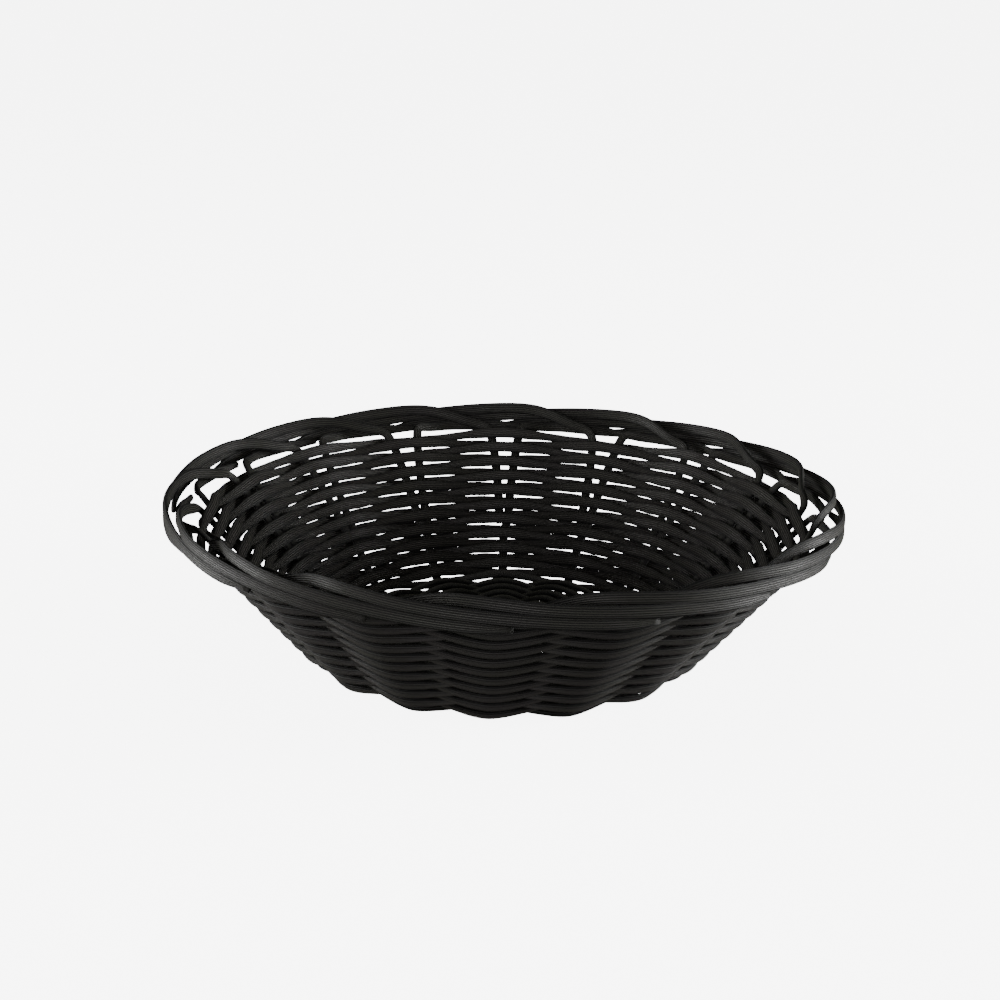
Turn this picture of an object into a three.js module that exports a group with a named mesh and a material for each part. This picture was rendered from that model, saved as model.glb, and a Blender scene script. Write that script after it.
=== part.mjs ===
import * as THREE from "three";

// Round woven bowl of extruded plastic strand. Millimetres, +Z up, standing on z = 0.
// Eight through-strands cross the base and climb the wall as sixteen stakes. A side stake is
// pushed in beside each one, and the pair opens in a V towards the rim. Thirteen weavers close
// the base and twenty-one close the wall. The ends of all the stakes are laid round the rim as
// the border: the side stakes one way, the stakes the other way.

// sizes that set everything else
const PAIRS = 16; // pairs of stakes round the wall
const GAP = 0.3; // clearance between strands that touch in the real bowl
const STAKE_W = 3.6; // width of a stake strand
const STAKE_T = 2.0; // thickness of a stake strand
const WEAVER_T = 2.0; // thickness of a weaver strand
const HOLD = 2.3; // least distance of a weaver from the stakes, centre to centre
const BULGE_OUT = 2.1; // how much further out a weaver swings at the top of the wall
const BULGE_IN = 0.8; // how much further in it swings there
const BASE_Z = HOLD + WEAVER_T / 2; // mid-plane of the base, so the lowest weavers touch z = 0
const BASE_R = 65.7; // radius where the base starts to turn up
const TURN_R = 9; // radius of that turn
const WALL_ANGLE = (51 * Math.PI) / 180; // slope of the wall above the ground
const WALL_END = 72.5; // length of stake from the edge of the base to the border
const BASE_ROWS = 13; // weavers in the base
const BASE_FIRST = 23.5; // radius of the smallest base weaver
const BASE_PITCH = 3.35; // radial step between base weavers
const BASE_W = 3.0; // width of a base weaver
const SIDE_ROWS = 21; // weavers in the wall
const SIDE_FIRST = 3.4; // lowest side weaver, measured up the wall from the edge of the base
const SIDE_PITCH = 3.2; // step between side weavers, measured up the wall
const SIDE_W = 4.0; // width of a side weaver where it lies flat on the stakes
const CROSS_W = 2.2; // width it shows where it turns between two stakes
const BEYOND = 0.9; // how far past the stakes a weaver still lies flat
const STEP = (2 * Math.PI) / PAIRS; // angle from one stake to the next
const CROSS_TURN = STEP / 2; // the base cross is turned half a step from the stakes
const LANE = STAKE_W + GAP; // spacing of the strands side by side in the base cross
const CROSS_LEVEL = (STAKE_T + GAP) / 2; // how far each layer of the base cross lies off the mid-plane
const CROSS_END = 9.5; // where the strands of the base cross begin to fan out
const FAN_R = 19.5; // radius where each strand has reached its own direction
const V_START = 20.5; // where a stake begins to lean away from the middle line of its pair
const V_JOIN = 34; // where its side stake begins beside it, up the wall
const V_JOIN_HALF = 2.05; // half the distance between the two where the side stake begins
const V_TOP = 67.4; // the top row of the wall
const V_TOP_HALF = 5.5; // half the distance between the two at the top row
const TOP_Z = 62.4; // centre height of the rim's top strand
const TOP_AT = 0.9; // where a side stake lies on top, in steps of its border run
const SINK = 3.9; // how far it sinks after that from one stake to the next
const LOW_Z = 57.4; // centre height of a stake where it runs under the rim
const TUCK_Z = 53.5; // centre height of its tucked end
const MIDDLE_R = 121.5; // radius of a side stake where it comes over the rim
const OUTER_R = 123.95; // radius of a side stake on the outside of the rim
const INNER_R = 119.2; // radius of a stake on the inside of the rim
const OUTER_RUN = 2.8; // length of the border run of a side stake, in steps
const INNER_RUN = 1.38; // length of the border run of a stake, in steps

const UP = new THREE.Vector3(0, 0, 1);
const DOWN = new THREE.Vector3(0, 0, -1);
const ease = (x) => THREE.MathUtils.smoothstep(x, 0, 1);
const between = (q, from, to) => ease((q - from) / (to - from));

// profile of the bowl: s runs outward along the base (negative) and then up the wall
function shell(s) {
  const a = Math.min(Math.max(s, 0) / TURN_R, WALL_ANGLE);
  const up = Math.max(0, s - TURN_R * WALL_ANGLE);
  const r = BASE_R + Math.min(s, 0) + TURN_R * Math.sin(a) + up * Math.cos(a);
  const z = BASE_Z + TURN_R * (1 - Math.cos(a)) + up * Math.sin(a);
  return { r, z, a };
}

// how far a stake and its side stake have moved apart, each from the line between them
function half(s) {
  const above = Math.max(0, s - V_JOIN) / (V_TOP - V_JOIN);
  return V_JOIN_HALF * between(s, V_START, V_JOIN) + (V_TOP_HALF - V_JOIN_HALF) * Math.pow(above, 1.4);
}

// how far a weaver swings out of the wall, or into it, over the stakes
const swing = (s, extra) => HOLD + extra * Math.min(1, Math.max(0, s - SIDE_FIRST) / V_TOP);

// a point and an outward direction in the upright plane at one angle round the bowl
const place = (r, angle, z) => new THREE.Vector3(r * Math.cos(angle), r * Math.sin(angle), z);
const facing = (a, angle) => place(Math.sin(a), angle, -Math.cos(a));

// a straight flat strand bent through the given stations: centre p, flat face direction n, width w
function strand(stations, thickness) {
  const last = stations.length - 1;
  const t = thickness / 2;
  const corners = [[-t, -0.5], [t, -0.5], [t, 0.5], [-t, 0.5]].map(([x, y]) => new THREE.Vector2(x, y));
  const options = { depth: last, steps: last, bevelEnabled: false };
  const body = new THREE.ExtrudeGeometry(new THREE.Shape(corners), options);
  const at = body.getAttribute("position");
  for (let i = 0; i < at.count; i++) {
    const k = Math.round(at.getZ(i));
    const here = stations[k];
    const run = new THREE.Vector3();
    if (k < last) run.add(stations[k + 1].p.clone().sub(here.p).normalize());
    if (k > 0) run.add(here.p.clone().sub(stations[k - 1].p).normalize());
    const across = run.cross(here.n).normalize();
    const q = here.p.clone().addScaledVector(here.n, at.getX(i));
    q.addScaledVector(across, at.getY(i) * here.w);
    at.setXYZ(i, q.x, q.y, q.z);
  }
  body.computeVertexNormals();
  return body;
}

// one weaver: outside one stake, inside the next, with its two ends meeting behind a stake
function weaver(s, first, flat, turn) {
  const c = shell(s);
  const reach = (half(s) + STAKE_W / 2 + BEYOND) / c.r;
  const out = swing(s, BULGE_OUT);
  const curved = s > 0 && s < TURN_R * WALL_ANGLE;
  const clear = curved ? (flat * flat) / (8 * (TURN_R - STAKE_T / 2)) : 0;
  const back = swing(s, BULGE_IN) + clear;
  const gap = GAP / c.r;
  const stations = [];
  const add = (angle, off, w) => {
    const n = facing(c.a, angle);
    stations.push({ p: place(c.r, angle, c.z).addScaledVector(n, off), n, w });
  };
  for (let k = 0; k <= PAIRS; k++) {
    const angle = (first + k) * STEP;
    const off = k % 2 ? out : -back;
    if (k > 0) add(angle - reach, off, flat);
    if (k === 0) add(angle + gap, off, flat);
    if (k === PAIRS) add(angle - gap, off, flat);
    if (k < PAIRS) add(angle + reach, off, flat);
    if (k < PAIRS && turn) add(angle + STEP / 2, (out - back) / 2, turn);
  }
  return strand(stations, WEAVER_T);
}

// the border run of a side stake: up inside the rim, over its top, then slowly down its outside
function outerRun(q) {
  const end = shell(WALL_END);
  const over = (MIDDLE_R - end.r) * between(q, 0.36, 0.9);
  const r = end.r + over + (OUTER_R - MIDDLE_R) * between(q, 0.95, 1.3);
  const z = end.z + (TOP_Z - end.z) * between(q, 0.24, 0.68);
  return { r, z: z - SINK * Math.max(0, q - TOP_AT) };
}

// the border run of a stake: folded over under the rim, then down to its tucked end
function innerRun(q) {
  const end = shell(WALL_END);
  const r = end.r + (INNER_R - end.r) * between(q, 0.1, 0.5);
  const z = end.z + (LOW_Z - end.z) * between(q, 0.1, 0.4);
  return { r, z: z + (TUCK_Z - LOW_Z) * between(q, 0.85, 1.36) };
}

// stations of a stake that climbs the wall through the given lengths and is laid round the rim
function stake(number, side, lengths) {
  const angle = number * STEP;
  const stations = [];
  const put = (p, n) => stations.push({ p, n, w: STAKE_W });
  for (const s of lengths) {
    const c = shell(s);
    const aside = place(side * half(s), angle + Math.PI / 2, 0);
    put(place(c.r, angle, c.z).add(aside), facing(c.a, angle));
  }
  const run = side > 0 ? outerRun : innerRun;
  const stop = side > 0 ? OUTER_RUN : INNER_RUN;
  const start = half(WALL_END) / shell(WALL_END).r / STEP;
  const steps = side > 0 ? 20 : 14;
  for (let i = 0; i <= steps; i++) {
    const q = start + (stop - start) * Math.pow(i / steps, 1.15);
    const c = run(q);
    const upright = WALL_ANGLE + (Math.PI / 2 - WALL_ANGLE) * between(q, start, 0.4);
    put(place(c.r, angle + side * STEP * q, c.z), facing(upright, angle + side * STEP * q));
  }
  return stations;
}

// one half of a through-strand, from the middle of the base to the end of its border run
function halfStrand(number, axis, lane, level) {
  const angle = number * STEP;
  const bend = angle - axis;
  const stations = [];
  const knots = [
    [CROSS_END / 2, lane, level],
    [CROSS_END, lane, level],
    [FAN_R * Math.cos(bend), FAN_R * Math.sin(bend), 0],
  ];
  for (const [x, y, z] of knots) {
    const p = new THREE.Vector3(x, y, BASE_Z + z).applyAxisAngle(UP, axis);
    stations.push({ p, n: DOWN, w: STAKE_W });
  }
  const lengths = [-4, 0, 2, 4, 6, 8, V_START, 25, 29.5, V_JOIN, 40, 46, 53, 60, V_TOP];
  return stations.concat(stake(number, -1, lengths));
}

const basket = new THREE.Group();
basket.name = "woven_fruit_basket";

function addPiece(name, number, geometry, colour, roughness) {
  const material = new THREE.MeshStandardMaterial({ color: colour, roughness, metalness: 0 });
  material.name = name + "_plastic";
  const mesh = new THREE.Mesh(geometry, material);
  mesh.name = name + "_" + String(number).padStart(2, "0");
  basket.add(mesh);
}

// through-strands: four lie side by side across the base and four more lie over them
let count = 0;
for (const quarter of [0, 1]) {
  const axis = quarter * (Math.PI / 2) + CROSS_TURN;
  const level = quarter ? CROSS_LEVEL : -CROSS_LEVEL;
  for (let i = 0; i < 4; i++) {
    const lane = (i - 1.5) * LANE;
    const one = halfStrand(quarter * 4 + i - 1, axis, lane, level);
    const other = halfStrand(quarter * 4 + 10 - i, axis + Math.PI, -lane, level);
    count += 1;
    addPiece("through_strand", count, strand([...other.reverse(), ...one], STAKE_T), 0x24251f, 0.42);
  }
}

// side stakes, one beside each stake
for (let k = 0; k < PAIRS; k++) {
  const body = strand(stake(k, 1, [V_JOIN, 40, 46, 53, 60, V_TOP]), STAKE_T);
  addPiece("side_stake", k + 1, body, 0x24251f, 0.42);
}

// base weavers, alternating over and under the strands
for (let i = 0; i < BASE_ROWS; i++) {
  const s = BASE_FIRST + BASE_PITCH * i - BASE_R;
  const body = weaver(s, ((i + 1) % 2) + 2 * ((i * 3) % 8), BASE_W, 0);
  addPiece("base_weaver", i + 1, body, 0x22231e, 0.45);
}

// side weavers, alternating outside and inside the stakes
for (let i = 0; i < SIDE_ROWS; i++) {
  const s = SIDE_FIRST + SIDE_PITCH * i;
  const body = weaver(s, (i % 2) + 2 * ((i * 3) % 8), SIDE_W, CROSS_W);
  addPiece("side_weaver", i + 1, body, 0x262722, 0.4);
}

export default basket;
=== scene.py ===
# %% [markdown]
# # A woven fruit basket
# The basket is woven from one kind of strand: a flat oval ribbon of near-black plastic with fine
# ribs along it. Eight long strands cross the base and climb the wall as sixteen stakes. A side
# stake stands beside each one. Weavers go round them, outside one pair and inside the next, and
# the ends of all the stakes are laid round the rim as the border. Every strand below is modelled
# as a straight ribbed ribbon that is then bent along its route, which is how a maker does it too.

# %% Load the frame
import math

import bmesh
import bpy
from mathutils import Euler, Matrix, Vector, noise


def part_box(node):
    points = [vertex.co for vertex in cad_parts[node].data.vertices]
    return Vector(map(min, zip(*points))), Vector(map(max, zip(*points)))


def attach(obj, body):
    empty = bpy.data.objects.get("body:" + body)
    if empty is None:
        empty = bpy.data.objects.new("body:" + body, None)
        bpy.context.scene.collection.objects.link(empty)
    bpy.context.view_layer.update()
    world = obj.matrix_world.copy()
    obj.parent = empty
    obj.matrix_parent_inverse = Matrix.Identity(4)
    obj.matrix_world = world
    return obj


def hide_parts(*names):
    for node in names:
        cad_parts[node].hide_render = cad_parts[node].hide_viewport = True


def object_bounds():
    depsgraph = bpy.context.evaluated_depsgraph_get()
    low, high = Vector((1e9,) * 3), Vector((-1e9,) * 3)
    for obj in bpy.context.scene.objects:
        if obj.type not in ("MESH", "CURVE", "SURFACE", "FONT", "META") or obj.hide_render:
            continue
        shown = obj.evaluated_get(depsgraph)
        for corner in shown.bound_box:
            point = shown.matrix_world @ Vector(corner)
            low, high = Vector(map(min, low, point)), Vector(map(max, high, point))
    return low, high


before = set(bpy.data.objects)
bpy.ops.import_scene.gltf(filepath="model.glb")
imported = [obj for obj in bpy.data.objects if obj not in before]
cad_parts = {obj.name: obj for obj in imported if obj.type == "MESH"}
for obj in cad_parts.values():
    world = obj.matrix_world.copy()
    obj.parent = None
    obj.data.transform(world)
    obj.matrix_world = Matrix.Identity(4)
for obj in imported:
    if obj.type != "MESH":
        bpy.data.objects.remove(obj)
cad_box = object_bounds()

low, high = cad_box
RIM_RADIUS = (high.x - low.x) / 2
HEIGHT = high.z - low.z
print("frame nodes:", len(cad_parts))
print("rim radius", round(RIM_RADIUS, 4), "height", round(HEIGHT, 4))

# %% [markdown]
# ## Sizes
# All the strands are one extrusion: a flat oval with fine ribs on both faces. A weaver strand is
# a little wider than a stake strand, and the short ones in the base are narrower.

# %% Sizes of the strand
PAIRS = 16
STEP = 2 * math.pi / PAIRS
WEAVER_WIDTH = 0.0045
STAKE_WIDTH = 0.0037
BASE_WIDTH = 0.0034
THICKNESS = 0.0020
RIBS = 5
RIB_DEPTH = 0.00044
RIB_POINTS = 4
EDGE_POINTS = 4
GIRTH = 2 * (RIBS * RIB_POINTS + EDGE_POINTS)
noise.seed_set(16)
print("pairs of stakes:", PAIRS, "points round a strand:", GIRTH)

# %% [markdown]
# ## The bowl's profile
# Cut the bowl in half and its wall is a straight slope that turns into a flat base on a small
# round corner. The profile is a function of one length: how far the wall has run from the edge
# of the base. Negative lengths lie in the base. Every strand asks it for its place.

# %% The profile
WALL_ANGLE = math.radians(51)
TURN_RADIUS = 0.009
WALL_END = 0.0725
BASE_EDGE = 0.0657
outer_low, outer_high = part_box("base_weaver_13")
BASE_MIDDLE = (outer_low.z + outer_high.z) / 2
TURN_LENGTH = TURN_RADIUS * WALL_ANGLE


def profile(s):
    """Radius, height and slope of the bowl at length s from the edge of the base."""
    slope = min(max(s, 0) / TURN_RADIUS, WALL_ANGLE)
    straight = max(0, s - TURN_LENGTH)
    radius = BASE_EDGE + min(s, 0) + TURN_RADIUS * math.sin(slope) + straight * math.cos(slope)
    height = BASE_MIDDLE + TURN_RADIUS * (1 - math.cos(slope)) + straight * math.sin(slope)
    return radius, height, slope


def at(radius, angle, height=0):
    """A point of the bowl at one radius, one angle round it and one height."""
    return Vector((radius * math.cos(angle), radius * math.sin(angle), height))


def outward(slope, angle):
    """The direction out of the wall at one slope and one angle round the bowl."""
    return at(math.sin(slope), angle, -math.cos(slope))


def ease(x):
    """Goes smoothly from 0 to 1 while x does."""
    x = min(1, max(0, x))
    return x * x * (3 - 2 * x)


def between(x, start, stop):
    """Goes smoothly from 0 to 1 while x goes from start to stop."""
    return ease((x - start) / (stop - start))


print("middle of the base at", round(BASE_MIDDLE, 4))
print("end of the wall at", round(profile(WALL_END)[1], 4))

# %% [markdown]
# ## One strand
# A strand begins as a flat grid: its length runs along x and its girth along y. The grid keeps a
# UV map, so patterns can follow the plastic however it bends. Each row of points is then wrapped
# round the ribbed oval section and set on its place of the route. Last, the long seam is merged.
# A ring's two ends meet and merge too, and the cut ends of any other strand are filled.
#
# A hand-woven bowl is never quite regular, so the foot of one side leans round a little.


# %% The ribbed section
FACE_SHARE = 0.9
EDGE_HALF = 0.22


def section():
    """Points of the ribbed oval section, as fractions of the thickness and the width."""
    half = []
    for i in range(RIBS * RIB_POINTS):
        y = FACE_SHARE * (i / (RIBS * RIB_POINTS) - 0.5)
        groove = 1 - abs(math.sin(math.pi * i / RIB_POINTS))
        crest = 0.5 * (1 - (2 * abs(y)) ** 3.5) ** 0.5
        half.append((crest - RIB_DEPTH / THICKNESS * groove, y))
    for i in range(EDGE_POINTS):
        turn = math.pi * i / EDGE_POINTS
        y = (FACE_SHARE + (1 - FACE_SHARE) * math.sin(turn)) / 2
        half.append((EDGE_HALF * math.cos(turn), y))
    points = half + [(-x, -y) for x, y in half]
    points.append(points[0])
    return points


SECTION = section()
print("section points:", len(SECTION))

# %% The bend
LEAN = math.radians(-3.4)


def lean(point):
    """Turn that the weave has taken at a point: most at the foot of the side towards -Y."""
    side = max(0, -point.y / max(1e-6, math.hypot(point.x, point.y)))
    return Matrix.Rotation(LEAN * side * max(0, 1 - point.z / HEIGHT), 3, "Z")


def bend_strand(name, route):
    """A strand bent along a route of stations: point, direction of its flat face and width."""
    bm = bmesh.new()
    uv = bm.loops.layers.uv.new("UVMap")
    count = len(route)
    bmesh.ops.create_grid(bm, x_segments=count - 1, y_segments=GIRTH, size=1, calc_uvs=True)
    ring = (route[0][0] - route[-1][0]).length < 1e-7
    spots = []
    length = 0
    for i, (point, face, width) in enumerate(route):
        ahead = route[1][0] if ring and i == count - 1 else route[min(i + 1, count - 1)][0]
        behind = route[-2][0] if ring and i == 0 else route[max(i - 1, 0)][0]
        run = (ahead - behind).normalized()
        across = run.cross(face).normalized()
        turn = lean(point)
        spots.append((turn @ point, turn @ across.cross(run), turn @ across, width))
        if i:
            length += (point - route[i - 1][0]).length
    for v in bm.verts:
        i = round((v.co.x + 1) / 2 * (count - 1))
        j = round((v.co.y + 1) / 2 * GIRTH)
        point, face, across, width = spots[i]
        x, y = SECTION[j]
        v.co = point + face * x * THICKNESS + across * y * width
    for f in bm.faces:
        for loop in f.loops:
            loop[uv].uv.x *= length / WEAVER_WIDTH
    bmesh.ops.remove_doubles(bm, verts=bm.verts, dist=1e-6)
    bmesh.ops.holes_fill(bm, edges=[e for e in bm.edges if e.is_boundary])
    bmesh.ops.recalc_face_normals(bm, faces=bm.faces)
    mesh = bpy.data.meshes.new(name)
    bm.to_mesh(mesh)
    bm.free()
    mesh.shade_smooth()
    piece = bpy.data.objects.new(name, mesh)
    bpy.context.scene.collection.objects.link(piece)
    return piece


print("lean of the foot:", round(math.degrees(LEAN), 1), "degrees")

# %% [markdown]
# ## The plastic
# All strands are the same plastic, so one node group makes its effects and each material places
# it with its own tone. The ribs have a soft sheen. The grooves between them and the edges of the
# strand are dull, because wear never polishes them, and their colour is painted dark: painted
# shade for the shade that falls in the grooves and between the rows. The UV map runs once round
# the girth, so a squared sine of it is the ribs, and a slow sine is the crown of each face. Fine
# streaks run along the strand, from the die that it was drawn through.

# %% The ribs and the crown
def math_node(nodes, operation, factor=None):
    """A math node that multiplies, adds or shapes one value."""
    node = nodes.new("ShaderNodeMath")
    node.operation = operation
    if factor is not None:
        node.inputs[1].default_value = factor
    return node


def rib_polish_and_shade_mask(nodes, link, uv):
    """A value that is 1 on the ribs in the middle of a face, and 0 in grooves and at edges: it
    sets the painted shade in the grooves and at the edges, and the polish of the ribs.
    """
    girth = nodes.new("ShaderNodeSeparateXYZ")
    link(uv, girth.inputs["Vector"])
    ribs = math_node(nodes, "MULTIPLY", math.pi * GIRTH / RIB_POINTS)
    link(girth.outputs["Y"], ribs.inputs[0])
    wave = math_node(nodes, "SINE")
    link(ribs.outputs["Value"], wave.inputs[0])
    rib = math_node(nodes, "MULTIPLY")
    link(wave.outputs["Value"], rib.inputs[0])
    link(wave.outputs["Value"], rib.inputs[1])
    turn = math_node(nodes, "MULTIPLY_ADD", 2 * math.pi)
    link(girth.outputs["Y"], turn.inputs[0])
    turn.inputs[2].default_value = math.pi * EDGE_POINTS / GIRTH
    swell = math_node(nodes, "SINE")
    link(turn.outputs["Value"], swell.inputs[0])
    crown = math_node(nodes, "ABSOLUTE")
    link(swell.outputs["Value"], crown.inputs[0])
    # Ribs times crown: where this is low, in the grooves and towards the edges, the colour is
    # painted dark as shade.
    bright = math_node(nodes, "MULTIPLY")
    link(rib.outputs["Value"], bright.inputs[0])
    link(crown.outputs["Value"], bright.inputs[1])
    return bright.outputs["Value"]


print("waves of the ribs round the girth:", GIRTH // RIB_POINTS)

# %% The streaks and patches
def noise_node(nodes, link, coordinates, scale, detail):
    """A noise pattern over some coordinates."""
    node = nodes.new("ShaderNodeTexNoise")
    node.inputs["Scale"].default_value = scale
    node.inputs["Detail"].default_value = detail
    link(coordinates, node.inputs["Vector"])
    return node.outputs["Fac"]


def streak_noise(nodes, link, uv):
    """Noise that is drawn out into fine streaks along the strand."""
    along = nodes.new("ShaderNodeMapping")
    along.inputs["Scale"].default_value = (0.12, 26, 1)
    link(uv, along.inputs["Vector"])
    return noise_node(nodes, link, along.outputs["Vector"], 1, 3)


def blend_colours(nodes, link, factor):
    """A mix of two colours, A and B, by one value."""
    mix = nodes.new("ShaderNodeMix")
    mix.data_type = "RGBA"
    link(factor, mix.inputs["Factor"])
    return mix


print("patterns of the plastic: ribs, crown, streaks, patches")

# %% The effects of the plastic
# Near-black painted shade for the grooves between the ribs and the edges of the strand.
GROOVE_PAINTED_SHADE = (0.0004, 0.0004, 0.0003, 1)
PATCH_SCALE = 45
STREAK_ROUGHNESS = 0.1
RIB_POLISH = -0.3


def plastic_group():
    """Colour, roughness and height of extruded strand, from its UV map and its place."""
    group = bpy.data.node_groups.new("Extruded plastic", "ShaderNodeTree")
    for name, kind in (("Tone", "NodeSocketColor"), ("Warm", "NodeSocketColor"),
                       ("Roughness", "NodeSocketFloat")):
        group.interface.new_socket(name, in_out="INPUT", socket_type=kind)
    for name, kind in (("Color", "NodeSocketColor"), ("Roughness", "NodeSocketFloat"),
                       ("Height", "NodeSocketFloat")):
        group.interface.new_socket(name, in_out="OUTPUT", socket_type=kind)
    nodes, link = group.nodes, group.links.new
    enter = nodes.new("NodeGroupInput")
    leave = nodes.new("NodeGroupOutput")
    where = nodes.new("ShaderNodeTexCoord")
    rib = rib_polish_and_shade_mask(nodes, link, where.outputs["UV"])
    streak = streak_noise(nodes, link, where.outputs["UV"])
    patch = noise_node(nodes, link, where.outputs["Object"], PATCH_SCALE, 2)
    tint = blend_colours(nodes, link, patch)
    link(enter.outputs["Tone"], tint.inputs["A"])
    link(enter.outputs["Warm"], tint.inputs["B"])
    # Painted shade: the colour falls to near black in the grooves and towards the edges of each
    # face.
    groove = blend_colours(nodes, link, rib)
    groove.inputs["A"].default_value = GROOVE_PAINTED_SHADE
    link(tint.outputs["Result"], groove.inputs["B"])
    link(groove.outputs["Result"], leave.inputs["Color"])
    streaky = math_node(nodes, "MULTIPLY_ADD", STREAK_ROUGHNESS)
    link(streak, streaky.inputs[0])
    link(enter.outputs["Roughness"], streaky.inputs[2])
    rough = math_node(nodes, "MULTIPLY_ADD", RIB_POLISH)
    link(rib, rough.inputs[0])
    link(streaky.outputs["Value"], rough.inputs[2])
    link(rough.outputs["Value"], leave.inputs["Roughness"])
    link(streak, leave.inputs["Height"])
    return group


PLASTIC = plastic_group()
print("nodes in the group:", len(PLASTIC.nodes))

# %% The plastic in its tones
TONE = (0.0230, 0.0250, 0.0178)
WARM_TONE = (0.0260, 0.0240, 0.0236)


def plastic(name, tone, warm, roughness):
    """A material of extruded plastic strand in one tone."""
    material = bpy.data.materials.new(name)
    material.use_nodes = True
    nodes, link = material.node_tree.nodes, material.node_tree.links.new
    shader = nodes["Principled BSDF"]
    effects = nodes.new("ShaderNodeGroup")
    effects.node_tree = PLASTIC
    effects.inputs["Tone"].default_value = (*tone, 1)
    effects.inputs["Warm"].default_value = (*warm, 1)
    effects.inputs["Roughness"].default_value = roughness
    link(effects.outputs["Color"], shader.inputs["Base Color"])
    link(effects.outputs["Roughness"], shader.inputs["Roughness"])
    bump = nodes.new("ShaderNodeBump")
    bump.inputs["Strength"].default_value = 0.15
    bump.inputs["Distance"].default_value = 0.0002
    link(effects.outputs["Height"], bump.inputs["Height"])
    link(bump.outputs["Normal"], shader.inputs["Normal"])
    shader.inputs["Specular IOR Level"].default_value = 0.13
    return material


stake_plastic = plastic("stake plastic", TONE, WARM_TONE, 0.62)
base_plastic = plastic("base plastic", TONE, WARM_TONE, 0.64)
wall_plastic = plastic("wall plastic", (0.0245, 0.0258, 0.0193), (0.0280, 0.0247, 0.0253), 0.62)
print("materials:", [m.name for m in (stake_plastic, base_plastic, wall_plastic)])


def finish_piece(piece, node, material):
    """Gives a piece its plastic, hangs it on the root body and hides the node of the frame that it
    stands for.
    """
    piece.data.materials.append(material)
    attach(piece, "root")
    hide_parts(node)


# %% [markdown]
# ## Weavers
# A weaver goes outside one pair and inside the next. It bulges out over the stakes, more so near
# the rim, and swings through the wall between them. There the rows above and below it swing the
# other way, so the strand is squeezed a little narrower to slip between them.

# %% The route of a weaver
V_START, V_JOIN, V_TOP = 0.0205, 0.034, 0.0674
V_JOIN_HALF, V_TOP_HALF = 0.00205, 0.0055
HOLD = 0.0023
SQUEEZED = 0.75
WANDER = 0.0006


def half_pair(s):
    """Half the distance between the two stakes of a pair."""
    above = max(0, s - V_JOIN) / (V_TOP - V_JOIN)
    return V_JOIN_HALF * between(s, V_START, V_JOIN) + (V_TOP_HALF - V_JOIN_HALF) * above ** 1.4


def weaver_route(s, first, bulge_out, bulge_in, crest, width, wander):
    """Stations of a weaver at length s up the wall; it starts behind pair number first."""
    radius, height, slope = profile(s)
    turns = 18 if s > 0 else 14
    route = []
    for i in range(PAIRS * turns + 1):
        steps = i % (PAIRS * turns) / turns
        angle = (first + steps) * STEP
        side = -math.asin(crest * math.cos(steps * math.pi)) / math.asin(crest)
        face = outward(slope, angle)
        up = at(math.cos(slope), angle, math.sin(slope))
        off = (bulge_out - bulge_in) / 2 + (bulge_out + bulge_in) / 2 * side
        drift = noise.noise(Vector((5 * math.cos(angle), 5 * math.sin(angle), wander)))
        point = at(radius, angle, height) + face * off + up * drift * WANDER
        free = between(abs(side), 0.2, 0.7)
        route.append((point, face, width * (SQUEEZED + (1 - SQUEEZED) * free)))
    return route


print("gap between the stakes of a pair at the top:", round(2 * half_pair(V_TOP), 4))


# %% Weave the wall
SIDE_FIRST = 0.0034
SIDE_PITCH = 0.0032
BULGE_OUT, BULGE_IN = 0.0021, 0.0009
SIDE_CREST = 0.93
side_rows = sorted(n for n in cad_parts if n.startswith("side_weaver"))
for i, node in enumerate(side_rows):
    s = SIDE_FIRST + SIDE_PITCH * i
    rise = s / V_TOP
    first = (i % 2) + 2 * ((i * 3) % 8)
    out, back = HOLD + BULGE_OUT * rise, HOLD + BULGE_IN * rise
    route = weaver_route(s, first, out, back, SIDE_CREST, WEAVER_WIDTH, 10 + i)
    piece = bend_strand("wall_round_%02d" % (i + 1), route)
    finish_piece(piece, node, wall_plastic)
print("wall rounds:", len(side_rows))

# %% Weave the base
BASE_FIRST = 0.0235
BASE_PITCH = 0.00335
BASE_CREST = 0.6
base_rows = sorted(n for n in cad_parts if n.startswith("base_weaver"))
for i, node in enumerate(base_rows):
    s = BASE_FIRST + BASE_PITCH * i - BASE_EDGE
    first = ((i + 1) % 2) + 2 * ((i * 3) % 8)
    route = weaver_route(s, first, HOLD, HOLD, BASE_CREST, BASE_WIDTH, 50 + i)
    piece = bend_strand("base_round_%02d" % (i + 1), route)
    finish_piece(piece, node, base_plastic)
print("base rounds:", len(base_rows))

# %% [markdown]
# ## The border
# Above the wall every strand end is laid round the rim. A side stake climbs on the inside, comes
# over the top and then sinks slowly down the outside, under the next ones. A stake is folded over
# lower down and runs the other way beneath them. How far along it is, is counted in steps from
# one pair to the next.

# %% The border runs
TOP_Z, LOW_Z, TUCK_Z = 0.0624, 0.0551, 0.0556
MIDDLE_R, OUTER_R, INNER_R = 0.1215, 0.12395, 0.1192
TOP_AT = 0.9
SINK = 0.0039


def side_stake_run(q):
    """Radius and height of a side stake q steps along the rim."""
    end_r, end_z, _ = profile(WALL_END)
    over = (MIDDLE_R - end_r) * between(q, 0.36, 0.9)
    radius = end_r + over + (OUTER_R - MIDDLE_R) * between(q, 0.95, 1.3)
    height = end_z + (TOP_Z - end_z) * between(q, 0.24, 0.68)
    return radius, height - SINK * max(0, q - TOP_AT)


def stake_run(q):
    """Radius and height of a stake q steps along the rim, the other way."""
    end_r, end_z, _ = profile(WALL_END)
    radius = end_r + (INNER_R - end_r) * between(q, 0.1, 0.5)
    height = end_z + (LOW_Z - end_z) * between(q, 0.1, 0.4)
    return radius, height + (TUCK_Z - LOW_Z) * between(q, 0.85, 1.36)


print("top of the border at", TOP_Z, "lower run at", LOW_Z)

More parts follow.
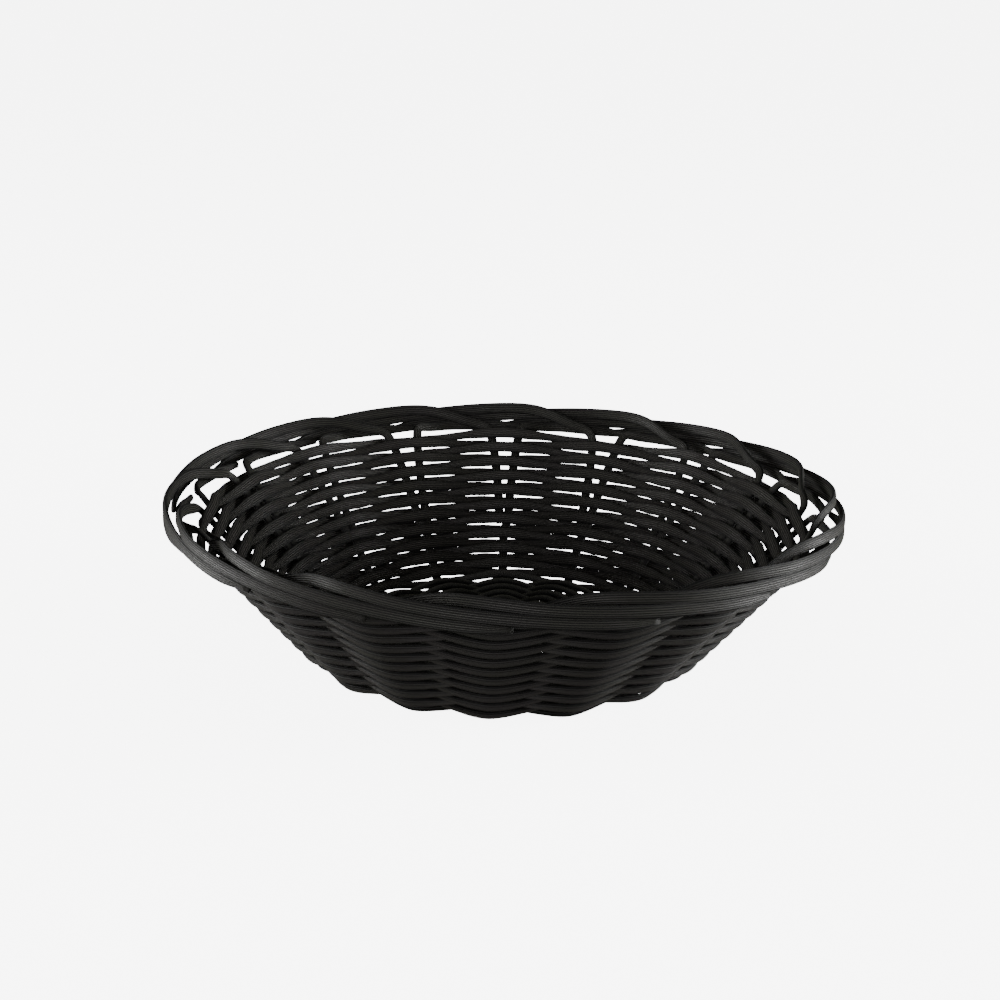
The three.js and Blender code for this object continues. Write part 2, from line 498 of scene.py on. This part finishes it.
# %% [markdown]
# ## From the foot to the tip
# Real strand has no corners: stiff as it is, it takes the softest bend that its neighbours allow.
# Here that is a few passes of smoothing on the stations between the top rows and the tip. The tip
# is drawn in narrower and a little inwards, where the next strands hold it.

# %% A stake from its foot to its tip
SIDE_STAKE_STOP, STAKE_STOP = 3.1, 1.14
RUN_POINTS = 70
TUCK_DEPTH = 0.0022
TUCK_NARROWS = 0.45
FREE_STATIONS = 8
PASSES = 24


def relax(route, times):
    """Lets a strand find its own soft bends: each point moves halfway to its neighbours."""
    for _ in range(times):
        points = [station[0] for station in route]
        for i in range(1, len(route) - 1):
            middle = (points[i - 1] + points[i + 1]) / 2
            route[i] = (points[i].lerp(middle, 0.5), *route[i][1:])
    return route


def climb(number, side, foot, start):
    """Stations of a stake up the wall and round the rim; side, 1 or -1, is the way it turns."""
    angle = number * STEP
    route = []
    top = WALL_END - 0.0005
    for i in range(foot):
        s = start + (top - start) * i / (foot - 1)
        radius, height, slope = profile(s)
        point = at(radius, angle, height) + at(side * half_pair(s), angle + math.pi / 2)
        route.append((point, outward(slope, angle), STAKE_WIDTH))
    run, stop = (side_stake_run, SIDE_STAKE_STOP) if side > 0 else (stake_run, STAKE_STOP)
    begin = half_pair(WALL_END) / profile(WALL_END)[0] / STEP
    for i in range(RUN_POINTS + 1):
        q = begin + (stop - begin) * (i / RUN_POINTS) ** 1.15
        radius, height = run(q)
        tucked = between(q, stop - 0.3, stop)
        radius -= TUCK_DEPTH * tucked
        upright = WALL_ANGLE + (math.pi / 2 - WALL_ANGLE) * between(q, begin, 0.4)
        turn = angle + side * STEP * q
        width = STAKE_WIDTH + (WEAVER_WIDTH - STAKE_WIDTH) * between(q, begin, 0.8)
        width *= 1 - TUCK_NARROWS * tucked
        route.append((at(radius, turn, height), outward(upright, turn), width))
    held = foot - FREE_STATIONS
    return route[:held] + relax(route[held:], PASSES)


print("steps along the rim:", SIDE_STAKE_STOP, "and", STAKE_STOP)


# %% Lay the side stakes
SIDE_STAKE_FOOT = V_JOIN - 0.006
for k in range(PAIRS):
    piece = bend_strand("side_stake_piece_%02d" % (k + 1), climb(k, 1, 24, SIDE_STAKE_FOOT))
    finish_piece(piece, "side_stake_%02d" % (k + 1), stake_plastic)
print("side stakes:", PAIRS)

# %% [markdown]
# ## Long strands
# Each long strand is drawn from the middle of the base outwards, twice, and the two halves are
# joined. A half lies in the cross, fans out to its own direction and becomes a stake.

# %% The route of half a long strand
LANE = 0.0039
CROSS_LEVEL = 0.00115
CROSS_END = 0.0095
FAN_RADIUS = 0.0195
FAN_LEAD = 0.004
CROSS_LEAD = 0.006
STAKE_FOOT = FAN_RADIUS + 0.002 - BASE_EDGE
DOWN = Vector((0, 0, -1))


def half_strand(number, axis, lane, level):
    """Stations of half a long strand, from the middle of the base to its end in the border."""
    bend = number * STEP - axis
    route = []
    fan = at(FAN_RADIUS, bend, BASE_MIDDLE)
    cross = Vector((CROSS_END, lane, BASE_MIDDLE + level))
    beyond = at(FAN_LEAD, bend)
    for i in range(4):
        route.append(Vector((CROSS_END * (i + 1) / 5, lane, BASE_MIDDLE + level)))
    for i in range(9):
        t = i / 8
        start = cross + Vector((1, 0, 0)) * CROSS_LEAD * t
        stop = fan - beyond * (1 - t)
        route.append(start.lerp(stop, ease(t)))
    stations = []
    for point in route:
        point.rotate(Euler((0, 0, axis)))
        stations.append((point, DOWN, STAKE_WIDTH))
    return stations + climb(number, -1, 64, STAKE_FOOT)


print("lanes of the cross:", LANE, "apart")


# %% Lay the long strands
count = 0
for quarter in (0, 1):
    axis = quarter * math.pi / 2 + STEP / 2
    level = CROSS_LEVEL if quarter else -CROSS_LEVEL
    for i in range(4):
        lane = (i - 1.5) * LANE
        one = half_strand(quarter * 4 + i - 1, axis, lane, level)
        other = half_strand(quarter * 4 + 10 - i, axis + math.pi, -lane, level)
        count += 1
        piece = bend_strand("long_strand_%02d" % count, other[::-1] + one)
        finish_piece(piece, "through_strand_%02d" % count, stake_plastic)
print("long strands:", count)

# %% [markdown]
# ## Stage
# The floor is a pale light table: it glows by itself and throws no light back, so the dark strands
# keep their depth. Two soft lights stand low at the sides and brush the outside and the rim, with
# little of their light falling inside. One in front lifts the near wall, and a faint one above
# picks out the top of the border.

# %% The floor
PAPER_GLOW = 6.5
bpy.ops.mesh.primitive_plane_add(size=60, location=(0, 0, 0))
floor = bpy.context.object
floor.name = "floor"
paper = bpy.data.materials.new("paper")
paper.use_nodes = True
paper_shader = paper.node_tree.nodes["Principled BSDF"]
paper_shader.inputs["Base Color"].default_value = (0.9, 0.9, 0.9, 1)
paper_shader.inputs["Roughness"].default_value = 0.9
paper_shader.inputs["Emission Color"].default_value = (1, 1, 1, 1)
paper_shader.inputs["Emission Strength"].default_value = PAPER_GLOW
floor.data.materials.append(paper)
floor.visible_diffuse = False
floor.visible_glossy = False
print("floor glow:", PAPER_GLOW)

# %% The lights
MIDDLE = Vector((0, 0, 0.03))


def soft_light(name, place, size, power, colour=(1, 1, 1)):
    """A square area light that faces the middle of the basket."""
    lamp = bpy.data.lights.new(name, "AREA")
    lamp.size = size
    lamp.energy = power
    lamp.color = colour
    light = bpy.data.objects.new(name, lamp)
    light.location = place
    light.rotation_euler = (MIDDLE - Vector(place)).to_track_quat("-Z", "Y").to_euler()
    bpy.context.scene.collection.objects.link(light)


soft_light("top", (0, 0.15, 1.2), 0.7, 3, (1, 1, 0.88))
soft_light("left", (-1.2, 0.1, 0.16), 0.6, 34)
soft_light("right", (1.2, 0.1, 0.16), 0.6, 46)
soft_light("front", (-0.2, -1.5, 0.45), 0.8, 26, (1, 0.96, 1))
print("lights:", len(bpy.data.lights))

# %% [markdown]
# ## Sky
# The sky stands in for the light that a white table sends back: it is brighter below than
# overhead, so the outside of the bowl is lit and the inside stays dark. Where the sky itself is
# seen, past the edge of the floor, it is as bright as the floor, so that there is no horizon.

# %% The sky
world = bpy.data.worlds.new("studio")
world.use_nodes = True
sky, link_sky = world.node_tree.nodes, world.node_tree.links.new
heading = sky.new("ShaderNodeTexCoord")
split = sky.new("ShaderNodeSeparateXYZ")
link_sky(heading.outputs["Generated"], split.inputs["Vector"])
level_of = sky.new("ShaderNodeMapRange")
level_of.inputs["From Min"].default_value = -0.4
level_of.inputs["From Max"].default_value = 0.8
level_of.inputs["To Min"].default_value = 0.20
level_of.inputs["To Max"].default_value = 0.08
link_sky(split.outputs["Z"], level_of.inputs["Value"])
link_sky(level_of.outputs["Result"], sky["Background"].inputs["Strength"])
sky["Background"].inputs["Color"].default_value = (1, 1, 0.94, 1)
seen_sky = sky.new("ShaderNodeBackground")
seen_sky.inputs["Color"].default_value = (1, 1, 1, 1)
seen_sky.inputs["Strength"].default_value = PAPER_GLOW
ray = sky.new("ShaderNodeLightPath")
choose = sky.new("ShaderNodeMixShader")
link_sky(ray.outputs["Is Camera Ray"], choose.inputs["Fac"])
link_sky(sky["Background"].outputs["Background"], choose.inputs[1])
link_sky(seen_sky.outputs["Background"], choose.inputs[2])
link_sky(choose.outputs["Shader"], sky["World Output"].inputs["Surface"])
bpy.context.scene.world = world
print("sky nodes:", len(sky))

# %% [markdown]
# ## Camera
# The camera stands well back, in front and a little above the rim, so the far wall shows over the
# near one and the rim is a shallow ellipse. It is rolled by one degree.

# %% The camera
DISTANCE = 6 * RIM_RADIUS
RAISED = math.radians(16.68)
TARGET = Vector((0, 0, 0.0665))
AIM = Vector((-0.0015, -0.0022, 0.0592))
camera_data = bpy.data.cameras.new("camera")
camera_data.sensor_width = 36
camera_data.lens = 73.2
camera = bpy.data.objects.new("camera", camera_data)
camera.location = TARGET + Vector((0, -math.cos(RAISED), math.sin(RAISED))) * DISTANCE
look = (AIM - camera.location).to_track_quat("-Z", "Y").to_matrix()
camera.rotation_euler = (look @ Matrix.Rotation(math.radians(1.02), 3, "Z")).to_euler()
bpy.context.scene.collection.objects.link(camera)
bpy.context.scene.camera = camera
print("camera at", [round(c, 3) for c in camera.location])
